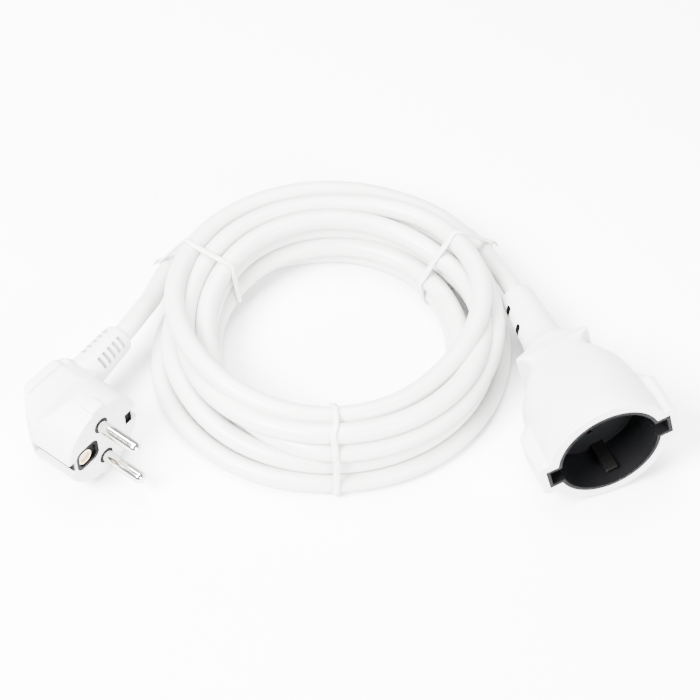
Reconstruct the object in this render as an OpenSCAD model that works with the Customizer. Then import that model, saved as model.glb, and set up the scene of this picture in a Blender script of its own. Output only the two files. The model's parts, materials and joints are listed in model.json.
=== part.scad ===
// Mains extension cord: an angled earthed plug, a coil of round three-core cord held
// by three ties, and a trailing earthed socket with a spring-closed safety shutter.
// Millimetres, +Z up, everything rests on Z = 0. The origin is under the middle of the
// socket, whose mouth faces -Y and tips up a little, as the cord leaves it lower behind.

/* [Cord] */
// Diameter of the round jacket
cord_d = 8.2; // [7.4:0.1:8.6]
// Diameter of one insulated core
core_d = 2.9; // [2.4:0.1:3.0]

/* [Coil] */
// Outer radius of the tied coil
coil_r = 68.5; // [66:0.5:69]
// Width of the bundle of turns, measured towards the middle
bundle_w = 22.5; // [18:0.5:26]
// Height of the bundle of turns
bundle_h = 29.5; // [22:0.5:32]
// Rounding of the bundle's four edges
bundle_edge_r = 7; // [3:0.5:8]
// Thickness of a tie
tie_t = 1.0; // [0.6:0.1:1.4]
// Width of a tie
tie_w = 2.4; // [1.6:0.1:4]
// Slack between a tie and what it holds
tie_slack = 0.1; // [0.05:0.05:0.3]

/* [Contact pins and holes] */
// Diameter of a contact pin
pin_d = 4.8; // [4.6:0.1:5]
// Distance between the two pins
pin_pitch = 19; // [18.6:0.1:19.6]
// How far a pin stands out of the plug's face
pin_len = 19; // [18:0.5:20]
// Radial clearance of a pin in a hole of the socket's floor
pin_hole_clear = 0.4; // [0.2:0.05:0.5]
// Radial clearance of a pin in the sleeve of a socket contact
sleeve_clear = 0.05; // [0:0.05:0.2]

/* [Plug] */
// Diameter of the plug's round face
face_d = 37; // [36.4:0.1:38]
// Depth of the plug behind its face
plug_depth = 35.5; // [35:0.5:38]
// Thickness of the plug's flattened back
plug_back_h = 25; // [22:0.5:30]
// How far the keys stand out from the round face
key_h = 1.5; // [1:0.1:1.9]
// Width of the keys, and less the clearance, of the socket's notches
key_w = 5.6; // [4.5:0.1:6.4]
// Length of a key
key_len = 6.5; // [4:0.5:12]
// Distance from the face back to the middle of the cord
exit_back = 27.5; // [27:0.5:28.5]
// Diameter of the strain relief where it leaves the plug
plug_relief_d = 14.2; // [13:0.2:15]
// Diameter of the strain relief at its end
plug_relief_end_d = 11.6; // [11:0.2:12.6]
// Length of the strain relief outside the plug
plug_relief_len = 24; // [20:0.5:26]
// Angle by which the strain relief is bent back from the square
plug_relief_bend = 5; // [0:1:10]
// Offset of the pin hole for the other earthing system
earth_hole_offset = 10; // [9.8:0.1:10.2]
// Bore of that hole's sleeve
earth_hole_d = 4.9; // [4.8:0.05:5.1]

/* [Socket] */
// Length from the mouth to the end of the strain relief
socket_len = 87; // [84:0.5:90]
// Outer diameter of the round ring at the mouth
ring_d = 49.8; // [48.8:0.2:52]
// Diameter of the round recess
recess_d = 39; // [38.6:0.1:39.4]
// Depth of the recess
recess_depth = 17.5; // [17:0.1:18]
// Wall of the dark insert
well_wall = 1.4; // [1:0.1:1.6]
// Thickness of the insert's floor
floor_t = 2.5; // [2:0.1:3]
// Clearance of a key in its notch, on each side
key_clear = 0.9; // [0.4:0.1:1.1]
// Distance from the axis to the outer end of a notch
notch_reach = 24; // [22:0.1:24.4]
// Width over the two wings that hold the notches
wing_span = 56; // [55:0.5:60]
// Height of a wing
wing_h = 17; // [15:0.5:19]
// Diameter of the strain relief where it leaves the socket
socket_relief_d = 16.8; // [15:0.2:18]
// Diameter of the strain relief at its end
socket_relief_end_d = 13.2; // [12:0.2:13.4]
// Length of the strain relief
socket_relief_len = 27; // [24:0.5:30]
// Roll of the socket about its own axis, as it lies
socket_roll = 14; // [0:1:16]
// Tilt of the socket's mouth above level, as it lies
socket_tilt = 4; // [3:1:5]

/* [Shutter] */
// Thickness of the turning shutter
shutter_t = 2; // [1.6:0.1:2.4]
// Radius of the turning shutter
shutter_r = 13.8; // [13.6:0.1:14]
// Angle from shut to open
shutter_travel = 38; // [38:1:42]
// Radius of the shutter's pivot pin
pivot_r = 2; // [1.8:0.1:2.2]
// Radial running clearance on the pivot pin
pivot_clear = 0.05; // [0.02:0.01:0.1]
// Gap left on each face of the shutter
shutter_gap = 0.3; // [0.2:0.05:0.4]

/* [Sheet metal] */
// Thickness of the earth contact strip
strip_t = 0.8; // [0.6:0.1:1]
// Width of the earth contact strip
strip_w = 5; // [4:0.1:5.4]

/* [Hidden] */
$fn = 72;
eps = 0.01;
far = 60;

// Where the three groups lie
coil_at = [-coil_r - 6.5, 56.5];
plug_at = [coil_at.x - coil_r - 31.3, 0.37 * coil_r + 5.155];
plug_turn = -57.6;
ring_r = ring_d / 2;
ring_len = 6;
socket_rise = ring_r * cos(socket_tilt) + ring_len * sin(socket_tilt);
socket_mouth_y = -(socket_len * cos(socket_tilt)
    + (socket_relief_end_d / 2 - ring_r) * sin(socket_tilt)) / 2;

// Contact pins
pin_r = pin_d / 2;
pin_x = pin_pitch / 2;
pin_root_r = pin_r + 0.5;
pin_neck_r = pin_r - 0.2;
core_r = core_d / 2;
core_place = core_r * 1.21;
crimp_r = core_r + 0.6;
crimp_len = 8;
crimp_half = crimp_len / 2 - 0.2;

// Coil and ties
cord_r = cord_d / 2;
coil_in = coil_r - bundle_w;
tie_angles = [131.5, 14.5, -108.5];
lead_gap = [2.4, 3.1];
tie_reach = [coil_r + 2 * cord_r + lead_gap[0], coil_r + 2 * cord_r + lead_gap[1] + 0.1, coil_r];

// Plug
face_r = face_d / 2;
plug_front_len = 18;
plug_rise = face_r + key_h;
bridge_r = pin_x + pin_r + 2.1;
bridge_front = 1.6;
bridge_back = 9;
collar_r = pin_r + 1.05;
earth_frame = [11.6, 10.5];
earth_frame_y = -earth_hole_offset + 1.2;
earth_frame_wall = 1.5;
earth_recess = 1.4;
sleeve_r = earth_hole_d / 2 + 0.8;
sleeve_len = 14;
side_contact_b = face_r - 2.3;
groove_w = strip_w + 1;
groove_len = plug_front_len + 1;
bracket_a = bridge_back + 1.6;
plug_crimp_a = bridge_back + 2.8;
earth_core_y = 5;
plug_jacket_in = 6;
relief_root = [-exit_back, 21];

// Relief slots of the plug: rows around it, each with cross slots along it
slot_rows = 4;
slots_in_row = 5;
slot_pitch = 3.1;
slot_size = [6.2, 1.5];
slot_first = 3.4;
slot_turn = 45;

// Socket
recess_r = recess_d / 2;
well_r = recess_r + well_wall;
notch_half = key_w / 2 + key_clear;
floor_back = recess_depth + floor_t;
pin_hole_r = pin_r + pin_hole_clear;
shutter_front = floor_back + shutter_gap;
shutter_back = shutter_front + shutter_t;
spring_wire_r = 0.6;
spring_r = 5.4;
clip_base = shutter_back + 1.5;
carrier_front = clip_base + strip_t;
carrier_web = 0.8;
contact_front = carrier_front + carrier_web;
contact_bore_r = pin_r + sleeve_clear;
contact_r = contact_bore_r + 0.8;
contact_back = recess_depth + pin_len + 0.5;
carrier_r = pin_x + contact_r + 1.4;
clip_gap = side_contact_b + 0.2;
clip_front = 4;
clip_slot_half = strip_w / 2 + 0.2;
chamber_r = clip_gap + strip_t + 0.4;
tail_x = 6;
socket_crimp_t = contact_back + strip_t + 0.8;
wire_half = tail_x + crimp_r + 0.3;
socket_jacket_t = socket_crimp_t + crimp_len + 9.4;
shoulder_t = socket_len - socket_relief_len;
shoulder = [29, 21];
scoop_r = 16;
scoop_at = 46.5;
scoop_in = 10.6;
window = [4, 6];
window_pitch = 11;
window_first = 5.5;
shutter_hole_r = pin_hole_r + 0.35;
sight = [-1.8, -7.6];
sight_r = 1.3;

// Cord routes outside the strain reliefs, in round numbers. A place beside the coil is
// given by how far it is outside the coil, its angle round the coil, and its height.
lead_sides = 12;
function beside(out, angle, z) = [coil_at.x + (coil_r + cord_r + out) * cos(angle),
    coil_at.y + (coil_r + cord_r + out) * sin(angle), z];
socket_lead_route = [[0.3, 50.5, 18.5], [0.3, 56, 17.2], [0, 62, 15.6],
    beside(2.8, 9, 14), beside(lead_gap[1], 13.5, 12.8), beside(lead_gap[1], 18, 12),
    beside(2.8, 23, 11.4), beside(1.8, 28.5, 11), beside(0.4, 34, 11), beside(-1.5, 40, 11),
    beside(-4, 46, 11), beside(-6.8, 51.5, 11)];
plug_lead_route = [beside(4.6, 159.3, 19.8), beside(2.1, 154.4, 18.6), beside(0.9, 149, 16.6),
    beside(0.9, 143.3, 14.6), beside(1.5, 138, 12.8), beside(2.2, 132.3, 11.6),
    beside(lead_gap[0], 126.5, 11), beside(1.5, 120.5, 11), beside(-0.7, 114.7, 11),
    beside(-3.9, 108.7, 11), beside(-7.6, 103.4, 11)];

// Places the plug group: local X along the pins, Y along the cord, Z up
module at_plug() translate([plug_at.x, plug_at.y, plug_rise]) rotate(plug_turn) children();
function plug_world(p) = [plug_at.x + p.x * cos(plug_turn) - p.y * sin(plug_turn),
    plug_at.y + p.x * sin(plug_turn) + p.y * cos(plug_turn), plug_rise + p.z];

// Places the socket group: local Y runs back from the mouth, X through the pin holes
module at_socket() translate([0, socket_mouth_y, socket_rise])
    rotate([-socket_tilt, 0, 0]) rotate([0, -socket_roll, 0]) children();
function socket_axis(t) = [0, socket_mouth_y + t * cos(socket_tilt),
    socket_rise - t * sin(socket_tilt)];

// Cylinders along the plug's pins, and back from the socket's mouth
module along_x(r, x0, x1, y = 0, z = 0)
    translate([x0, y, z]) rotate([0, 90, 0]) cylinder(r = r, h = x1 - x0);
module along_y(r, y0, y1, x = 0, z = 0)
    translate([x, y0, z]) rotate([-90, 0, 0]) cylinder(r = r, h = y1 - y0);
// A box given by its two corners
module span(a, b) translate(a) cube(b - a);

// A swept tube along route points, with flat ends square to the route
function route_dir(p, i) = let (a = p[max(i - 1, 0)], b = p[min(i + 1, len(p) - 1)])
    (b - a) / norm(b - a);
function tube_ring(p, i, r, sides) = let (t = route_dir(p, i),
    flat = cross([0.01, 0.02, 1], t), u = flat / norm(flat), v = cross(t, u))
    [for (k = [0 : sides - 1])
        p[i] + r * (cos(360 * k / sides) * u + sin(360 * k / sides) * v)];
module tube(p, r, sides = 8) {
    n = len(p);
    points = [for (i = [0 : n - 1]) each tube_ring(p, i, r, sides)];
    walls = [for (i = [0 : n - 2], k = [0 : sides - 1])
        [i * sides + k, (i + 1) * sides + k,
         (i + 1) * sides + (k + 1) % sides, i * sides + (k + 1) % sides]];
    first = [for (k = [0 : sides - 1]) k];
    last = [for (k = [sides - 1 : -1 : 0]) (n - 1) * sides + k];
    polyhedron(points, concat([first], walls, [last]), convexity = 6);
}

// Rectangle with rounded corners, w by h, on the plane
module soft_rect(w, h, r) {
    square([w - 2 * r, h], center = true);
    square([w, h - 2 * r], center = true);
    for (x = [-1, 1], y = [-1, 1]) translate([x * (w / 2 - r), y * (h / 2 - r)]) circle(r);
}

// ---- Plug

// The strain relief leaves the body here, bent back a little
module at_relief() translate([relief_root.x, relief_root.y, 0])
    rotate(plug_relief_bend) rotate([-90, 0, 0]) children();
function relief_point(h, out = 0, up = 0) = [
    relief_root.x - h * sin(plug_relief_bend) + out * cos(plug_relief_bend),
    relief_root.y + h * cos(plug_relief_bend) + out * sin(plug_relief_bend), up];

// Outer form of the plug, without its openings
module plug_form() {
    along_x(face_r, -plug_front_len, 0);
    // keys above and below, in line with the pins
    for (z = [-1, 1]) span([-key_len, -key_w / 2, z > 0 ? face_r - 2 : -face_r - key_h],
        [0, key_w / 2, z > 0 ? face_r + key_h : -face_r + 2]);
    // from the round front to the flattened back and the cord's exit
    hull() {
        along_x(face_r, -plug_front_len, -plug_front_len + 4);
        span([-plug_depth, -7, -plug_back_h / 2], [-plug_depth + 5, 13, plug_back_h / 2]);
        along_y(plug_relief_d / 2 + 1.4, 16, 20.5, -exit_back);
    }
    at_relief() translate([0, 0, -2])
        cylinder(d1 = plug_relief_d, d2 = plug_relief_end_d, h = plug_relief_len + 2);
}

// White overmoulding with the room for what is moulded in
module plug_overmould() color("white") at_plug() difference() {
    plug_form();
    plug_bridge_form();
    for (z = [-1, 1])
        along_x(crimp_r + 0.4, -plug_crimp_a - crimp_len, -bridge_back + eps, 0, z * pin_x);
    // grooves of the side contacts and the strip that joins them
    for (y = [-1, 1]) span(
        [-groove_len, y > 0 ? side_contact_b - strip_t : -far, -groove_w / 2],
        [eps, y > 0 ? far : strip_t - side_contact_b, groove_w / 2]);
    earth_strip();
    along_x(sleeve_r, -sleeve_len, 0, -earth_hole_offset);
    along_x(crimp_r + 0.4, -bracket_a - strip_t - 1.4 - crimp_len, -bracket_a, earth_core_y);
    // room where the cores turn to the cord, lower and lower towards the jacket
    span([-exit_back + 2.9, -crimp_r - 0.4, -pin_x - crimp_r - 0.4],
        [-plug_crimp_a - 5, earth_core_y, pin_x + crimp_r + 0.4]);
    span([-exit_back - 3.4, 0.5, 0.5 - pin_x],
        [-plug_crimp_a - 5, earth_core_y + 4, pin_x - 0.5]);
    span([-exit_back - 3.4, earth_core_y + 3, 3 - pin_x],
        [-exit_back + 6, 15.2, pin_x - 3]);
    at_relief() translate([0, 0, -plug_jacket_in])
        cylinder(r = cord_r, h = plug_relief_len + plug_jacket_in + 1);
    at_relief() for (row = [0 : slot_rows - 1], i = [0 : slots_in_row - 1])
        rotate(slot_turn + 360 * row / slot_rows) translate([cord_r + 0.8, -slot_size.x / 2,
            slot_first + slot_pitch * i - slot_size.y / 2])
            cube([9, slot_size.x, slot_size.y]);
}

// Outer form of the insert: a disc in the body and three parts that reach the face
module plug_bridge_form() {
    difference() {
        along_x(bridge_r, -bridge_back, -bridge_front);
        // clear of the arms of the earth strip
        for (y = [-1, 1]) span([-far, y > 0 ? side_contact_b - strip_t - 0.3 : -far,
            -groove_w / 2], [0, y > 0 ? far : 0.3 + strip_t - side_contact_b, groove_w / 2]);
    }
    for (z = [-1, 1]) along_x(collar_r, -bridge_front - eps, 0, 0, z * pin_x);
    translate([-bridge_front - eps, earth_frame_y, 0]) rotate([90, 0, 90])
        linear_extrude(bridge_front + eps) soft_rect(earth_frame.x, earth_frame.y, 3);
}
module plug_bridge() color([0.12, 0.12, 0.12]) at_plug() difference() {
    plug_bridge_form();
    for (z = [-1, 1]) {
        along_x(pin_root_r, -bridge_back - 1, -bridge_front, 0, z * pin_x);
        along_x(pin_neck_r, -bridge_front - 1, 1, 0, z * pin_x);
    }
    translate([-earth_recess, earth_frame_y, 0]) rotate([90, 0, 90])
        linear_extrude(earth_recess + 1) soft_rect(earth_frame.x - 2 * earth_frame_wall,
            earth_frame.y - 2 * earth_frame_wall, 1.8);
    along_x(sleeve_r, -bridge_back - 1, 1, -earth_hole_offset);
}

// A contact pin with its rounded tip, its wider root and its tail
module contact_pin(z) color([0.78, 0.77, 0.74]) at_plug() translate([0, 0, z]) {
    along_x(pin_r, 0, pin_len - pin_r);
    along_x(pin_neck_r, -bridge_front - 1, eps);
    translate([pin_len - pin_r, 0, 0]) rotate([0, 90, 0]) rotate_extrude()
        intersection() { circle(pin_r); square(pin_r); }
    along_x(pin_root_r, -bridge_back, -bridge_front);
    along_x(core_r, -plug_crimp_a - crimp_half, -bridge_back);
}
module plug_pin_line() contact_pin(pin_x);
module plug_pin_neutral() contact_pin(-pin_x);

// Earth strip bent to a U: its arms are the side contacts, its eye holds the sleeve
module earth_strip() {
    span([-bracket_a - strip_t, -side_contact_b, -strip_w / 2],
        [-bracket_a, side_contact_b, strip_w / 2]);
    along_x(sleeve_r + 1.4, -bracket_a - strip_t, -bracket_a, -earth_hole_offset);
    for (y = [-1, 1]) span([-groove_len, y > 0 ? side_contact_b - strip_t : -side_contact_b,
        -strip_w / 2], [-0.8, y > 0 ? side_contact_b : strip_t - side_contact_b, strip_w / 2]);
}
module plug_earth_bracket() color([0.72, 0.72, 0.7]) at_plug() {
    difference() {
        earth_strip();
        along_x(sleeve_r, -far, 0, -earth_hole_offset);
    }
    along_x(core_r, -bracket_a - strip_t - 1.4 - crimp_half, -bracket_a - strip_t, earth_core_y);
}

// Sleeve for the loose earth pin of the other system
module plug_earth_sleeve() color([0.75, 0.74, 0.7]) at_plug() difference() {
    along_x(sleeve_r, -sleeve_len, -0.4, -earth_hole_offset);
    along_x(earth_hole_d / 2, -sleeve_len + 0.8, 1, -earth_hole_offset);
}

// Three crimp barrels, each joining a contact's tail to a core
module plug_crimps() color([0.8, 0.78, 0.7]) at_plug() {
    for (z = [-1, 1]) difference() {
        along_x(crimp_r, -plug_crimp_a - crimp_len, -plug_crimp_a, 0, z * pin_x);
        along_x(core_r, -far, 0, 0, z * pin_x);
    }
    difference() {
        along_x(crimp_r, -bracket_a - strip_t - 1.4 - crimp_len, -bracket_a - strip_t - 1.4,
            earth_core_y);
        along_x(core_r, -far, 0, earth_core_y);
    }
}

// A core from its crimp, round the corner, to the end of the jacket
plug_core_a = plug_crimp_a + crimp_half + 0.4;
module plug_live_core(side) at_plug() tube([
    [-plug_core_a, 0, side * pin_x], [-plug_crimp_a - crimp_len, 0, side * pin_x],
    [-plug_crimp_a - crimp_len - 2, 0.6, side * (pin_x - 0.3)],
    [-exit_back + 3.5, 3, side * (pin_x - 2.4)], [-exit_back + 1.4, 6.6, side * (pin_x - 5.2)],
    [-exit_back + 0.1, 10.4, side * (pin_x - 7.3)],
    relief_point(-plug_jacket_in - 1.6, -core_place / 2, side * core_place * 0.866),
    relief_point(-plug_jacket_in, -core_place / 2, side * core_place * 0.866)], core_r);
module plug_core_brown() color([0.4, 0.22, 0.1]) plug_live_core(1);
module plug_core_blue() color([0.15, 0.3, 0.7]) plug_live_core(-1);
module plug_core_green_yellow() color([0.5, 0.7, 0.1]) at_plug() tube([
    [-bracket_a - strip_t - 1.8 - crimp_half, earth_core_y, 0],
    [-bracket_a - strip_t - 1.4 - crimp_len, earth_core_y, 0],
    [-bracket_a - strip_t - 3 - crimp_len, earth_core_y + 0.6, 0],
    [-exit_back + 3.6, 8.6, 0], [-exit_back + 2.7, 11.4, 0],
    relief_point(-plug_jacket_in - 1.6, core_place), relief_point(-plug_jacket_in, core_place)],
    core_r);

// ---- Cord

module cord_plug_lead() color("white") tube(concat(
    [plug_world(relief_point(-plug_jacket_in)), plug_world(relief_point(plug_relief_len / 2)),
     plug_world(relief_point(plug_relief_len))], plug_lead_route), cord_r, lead_sides);
module cord_socket_lead() color("white") tube(concat(
    [socket_axis(socket_jacket_t), socket_axis(socket_jacket_t + 15), socket_axis(socket_len)],
    socket_lead_route), cord_r, lead_sides);
// All the turns together, as one ring
module cord_coil() color("white") translate([coil_at.x, coil_at.y, tie_t])
    rotate_extrude($fn = 120) translate([(coil_r + coil_in) / 2, bundle_h / 2])
        soft_rect(bundle_w, bundle_h, bundle_edge_r);

// A tie round the bundle, and round the cord that leaves the coil where there is one
module tie(i) color("white") translate([coil_at.x, coil_at.y, 0]) rotate(tie_angles[i])
    translate([(coil_in + tie_reach[i]) / 2, tie_w / 2, bundle_h / 2 + tie_t + tie_slack / 2])
    rotate([90, 0, 0]) linear_extrude(tie_w) difference() {
        soft_rect(tie_reach[i] - coil_in + 2 * (tie_slack + tie_t),
            bundle_h + tie_slack + 2 * tie_t, bundle_edge_r * 0.5 + tie_t);
        soft_rect(tie_reach[i] - coil_in + 2 * tie_slack, bundle_h + tie_slack,
            bundle_edge_r * 0.5);
    }
module tie_left() tie(0);
module tie_right() tie(1);
module tie_front() tie(2);

// ---- Socket

// Outer form of the dark insert, from in front of the mouth to the back of its floor
module well_form(y0, y1) {
    along_y(well_r, y0, y1);
    span([-notch_reach - well_wall, y0, -notch_half - well_wall],
        [notch_reach + well_wall, y1, notch_half + well_wall]);
}
module socket_well() color([0.1, 0.1, 0.1]) at_socket() difference() {
    well_form(0, floor_back);
    along_y(recess_r, -1, recess_depth);
    span([-notch_reach, -1, -notch_half], [notch_reach, recess_depth, notch_half]);
    for (x = [-1, 1]) along_y(pin_hole_r, 0, floor_back + 1, x * pin_x);
    for (z = [-1, 1]) span([-clip_slot_half, 0, z > 0 ? clip_gap - 0.15 : -clip_gap - strip_t - 0.15],
        [clip_slot_half, floor_back + 1, z > 0 ? clip_gap + strip_t + 0.15 : 0.15 - clip_gap]);
    along_y(sight_r, 0, floor_back + 1, sight.x, sight.y);
    along_y(pivot_r, floor_back - 1.5, floor_back + 1);
}

// White overmoulding: ring, wings, bell, shoulders and strain relief
module shell_form() {
    rotate([-90, 0, 0]) rotate_extrude() polygon([[0, 0], [ring_r - 0.6, 0], [ring_r, 0.6],
        [ring_r, ring_len], [ring_r - 0.9, ring_len + 0.8], [ring_r - 1.1, 14],
        [ring_r - 1.4, 22], [ring_r - 1.9, 27], [ring_r - 2.8, 31], [ring_r - 4.1, 34],
        [ring_r - 6.5, 37], [ring_r - 9, 40], [ring_r - 10, 43], [ring_r - 10.2, 52], [0, 52]]);
    hull() {
        rotate([-90, 0, 0]) linear_extrude(18) polygon([
            for (s = [1, -1]) each [[s * wing_span / 2, s * (wing_h / 2 - 1.5)],
                [s * (wing_span / 2 - 2), s * wing_h / 2],
                [-s * (wing_span / 2 - 2), s * wing_h / 2],
                [-s * wing_span / 2, s * (wing_h / 2 - 1.5)]]]);
        span([-wing_span / 2 + 7, 0, -wing_h / 2 + 2], [wing_span / 2 - 7, 26, wing_h / 2 - 2]);
    }
    hull() {
        translate([0, 45, 0]) rotate([-90, 0, 0]) linear_extrude(8)
            soft_rect(shoulder.x, shoulder.y, 6);
        along_y(socket_relief_d / 2 + 1, shoulder_t - 2, shoulder_t);
    }
    translate([0, shoulder_t - 1, 0]) rotate([-90, 0, 0])
        cylinder(d1 = socket_relief_d, d2 = socket_relief_end_d, h = socket_relief_len + 1);
}
module socket_shell() color("white") at_socket() difference() {
    shell_form();
    well_form(-1, floor_back);
    along_y(chamber_r, floor_back - eps, carrier_front);
    along_y(carrier_r, carrier_front - eps, contact_back);
    span([-pin_x - contact_r - 0.1, contact_back - eps, -contact_r - 0.1],
        [pin_x + contact_r + 0.1, contact_back + strip_t + 0.1, contact_r + 0.1]);
    span([-wire_half, contact_back, -crimp_r - 0.3],
        [wire_half, socket_crimp_t + crimp_len + 0.6, crimp_r + 0.3]);
    translate([0, 0, -core_place - core_r - 0.2])
        linear_extrude(2 * (core_place + core_r + 0.2)) polygon([
            [-wire_half, socket_crimp_t + crimp_len + 0.5], [-3.7, socket_jacket_t + eps],
            [3.7, socket_jacket_t + eps], [wire_half, socket_crimp_t + crimp_len + 0.5]]);
    along_y(cord_r, socket_jacket_t, socket_len + 1);
    // finger scoops in the flanks of the waist
    for (x = [-1, 1]) translate([x * (scoop_in + scoop_r), scoop_at, -7])
        cylinder(r = scoop_r, h = 14);
    // windows through both sides of the strain relief
    for (x = [-1, 1], i = [0, 1]) translate([x > 0 ? cord_r + 0.8 : -far / 2,
        shoulder_t + window_first + i * window_pitch, -window.y / 2])
        cube([far / 2 - cord_r - 0.8, window.x, window.y]);
}

// Block behind the shutter that holds the two contact sleeves
module socket_carrier() color([0.85, 0.85, 0.82]) at_socket() difference() {
    along_y(carrier_r, carrier_front, contact_back);
    for (x = [-1, 1]) {
        along_y(pin_hole_r, carrier_front - 1, contact_back + 1, x * pin_x);
        along_y(contact_r, contact_front, contact_back + 1, x * pin_x);
    }
    along_y(core_r, carrier_front - 1, contact_back + 1);
}

// A sleeve for one pin, with a foot that carries the crimp's tail nearer the middle
module socket_contact(side) color([0.82, 0.7, 0.4]) at_socket() {
    difference() {
        along_y(contact_r, contact_front, contact_back + strip_t, side * pin_x);
        along_y(contact_bore_r, contact_front - 1, contact_back, side * pin_x);
    }
    span([side > 0 ? tail_x - 1.6 : -pin_x, contact_back, -1.6],
        [side > 0 ? pin_x : 1.6 - tail_x, contact_back + strip_t, 1.6]);
    along_y(core_r, contact_back + strip_t, socket_crimp_t + crimp_half, side * tail_x);
}
module socket_contact_line() socket_contact(1);
module socket_contact_neutral() socket_contact(-1);

// Earth strip bent to a U, whose two arms stand in the recess
module socket_earth_clip() color([0.75, 0.75, 0.72]) at_socket() {
    span([-strip_w / 2, clip_base, -clip_gap - strip_t],
        [strip_w / 2, carrier_front, clip_gap + strip_t]);
    for (z = [-1, 1]) span([-strip_w / 2, clip_front, z > 0 ? clip_gap : -clip_gap - strip_t],
        [strip_w / 2, carrier_front, z > 0 ? clip_gap + strip_t : -clip_gap]);
    along_y(core_r, carrier_front - eps, socket_crimp_t + crimp_half);
}

// Turning shutter, drawn shut: its two openings stand beside the pin holes
module socket_shutter() color([0.8, 0.15, 0.08]) at_socket() difference() {
    along_y(shutter_r, shutter_front, shutter_back);
    along_y(pivot_r + pivot_clear, shutter_front - 1, shutter_back + 1);
    rotate([0, -shutter_travel, 0]) for (x = [-1, 1])
        along_y(shutter_hole_r, shutter_front - 1, shutter_back + 1, x * pin_x);
}
module shutter_pivot() color([0.7, 0.7, 0.7]) at_socket()
    along_y(pivot_r, floor_back - 1.5, clip_base - 0.2);
// Torsion spring round the pivot, resting against the earth strip
module shutter_spring() color([0.6, 0.6, 0.62]) at_socket()
    translate([0, clip_base - spring_wire_r, 0]) rotate([0, 90, 0]) {
        rotate([-90, 0, 0]) rotate_extrude(angle = 300) translate([spring_r, 0])
            circle(spring_wire_r, $fn = 24);
        translate([spring_r, 0, 0]) rotate([0, 90, 0])
            cylinder(r = spring_wire_r, h = 4, $fn = 24);
    }

module socket_crimps() color([0.8, 0.78, 0.7]) at_socket()
    for (x = [-tail_x, 0, tail_x]) difference() {
        along_y(crimp_r, socket_crimp_t, socket_crimp_t + crimp_len, x);
        along_y(core_r, socket_crimp_t - 1, socket_crimp_t + crimp_len + 1, x);
    }

// Cores from the crimps to the end of the jacket
socket_core_t = socket_crimp_t + crimp_half + 0.4;
socket_crimp_end = socket_crimp_t + crimp_len;
module socket_live_core(side) at_socket() tube([[side * tail_x, socket_core_t, 0],
    [side * tail_x, socket_crimp_end, 0], [side * (tail_x - 0.2), socket_crimp_end + 1.4, 0],
    [side * (tail_x - 1.6), socket_crimp_end + 4.2, -0.4],
    [side * 2.5, socket_crimp_end + 6.6, -0.8],
    [side * core_place * 0.866, socket_jacket_t - 1.2, -core_place / 2],
    [side * core_place * 0.866, socket_jacket_t, -core_place / 2]], core_r);
module socket_core_brown() color([0.4, 0.22, 0.1]) socket_live_core(1);
module socket_core_blue() color([0.15, 0.3, 0.7]) socket_live_core(-1);
module socket_core_green_yellow() color([0.5, 0.7, 0.1]) at_socket() tube([
    [0, socket_core_t, 0], [0, socket_crimp_end, 0], [0, socket_crimp_end + 1.4, 0.1],
    [0, socket_crimp_end + 4.2, 0.9], [0, socket_crimp_end + 6.6, 1.6],
    [0, socket_jacket_t - 1.2, core_place], [0, socket_jacket_t, core_place]], core_r);

plug_overmould();
plug_bridge();
plug_pin_line();
plug_pin_neutral();
plug_earth_bracket();
plug_earth_sleeve();
plug_crimps();
plug_core_brown();
plug_core_blue();
plug_core_green_yellow();
cord_plug_lead();
cord_coil();
cord_socket_lead();
tie_left();
tie_right();
tie_front();
socket_shell();
socket_well();
socket_carrier();
socket_contact_line();
socket_contact_neutral();
socket_earth_clip();
socket_shutter();
shutter_spring();
shutter_pivot();
socket_crimps();
socket_core_brown();
socket_core_blue();
socket_core_green_yellow();
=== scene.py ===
# %% [markdown]
# # A mains extension cord, tied in a coil
# This lesson builds a white extension cord: an angled earthed plug, a coil of round cord
# held by three wire ties, and a trailing socket with a dark insert. The hidden metal parts
# come ready-made from the engineering model. Every length is in metres, Z is up, and the
# socket's mouth faces -Y.

# %% Start: tools and the engineering model
import json
import math
import bpy
import bmesh
from mathutils import Matrix, Vector

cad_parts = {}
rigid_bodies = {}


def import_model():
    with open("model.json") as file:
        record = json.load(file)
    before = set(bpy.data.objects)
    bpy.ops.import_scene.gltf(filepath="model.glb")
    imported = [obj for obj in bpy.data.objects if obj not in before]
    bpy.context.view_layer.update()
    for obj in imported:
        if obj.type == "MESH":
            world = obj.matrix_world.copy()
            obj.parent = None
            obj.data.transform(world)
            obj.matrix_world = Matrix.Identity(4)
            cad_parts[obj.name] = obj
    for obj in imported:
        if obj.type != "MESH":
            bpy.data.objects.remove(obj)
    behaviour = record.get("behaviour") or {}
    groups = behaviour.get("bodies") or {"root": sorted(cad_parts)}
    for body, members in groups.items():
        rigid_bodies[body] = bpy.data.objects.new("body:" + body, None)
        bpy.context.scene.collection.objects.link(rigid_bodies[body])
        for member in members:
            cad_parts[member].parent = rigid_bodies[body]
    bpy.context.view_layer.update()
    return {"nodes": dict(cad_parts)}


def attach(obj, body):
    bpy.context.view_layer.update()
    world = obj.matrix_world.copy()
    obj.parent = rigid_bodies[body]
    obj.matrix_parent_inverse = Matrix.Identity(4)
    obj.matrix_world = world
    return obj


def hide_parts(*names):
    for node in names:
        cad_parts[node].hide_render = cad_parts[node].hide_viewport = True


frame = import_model()

# %% [markdown]
# The camera comes first, because the cord's visible turns are laid out for its view. It
# looks down at about fifty degrees from the left of the socket's mouth. A long lens from
# far away keeps the circle of the coil calm: a short lens would stretch its near side.

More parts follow.
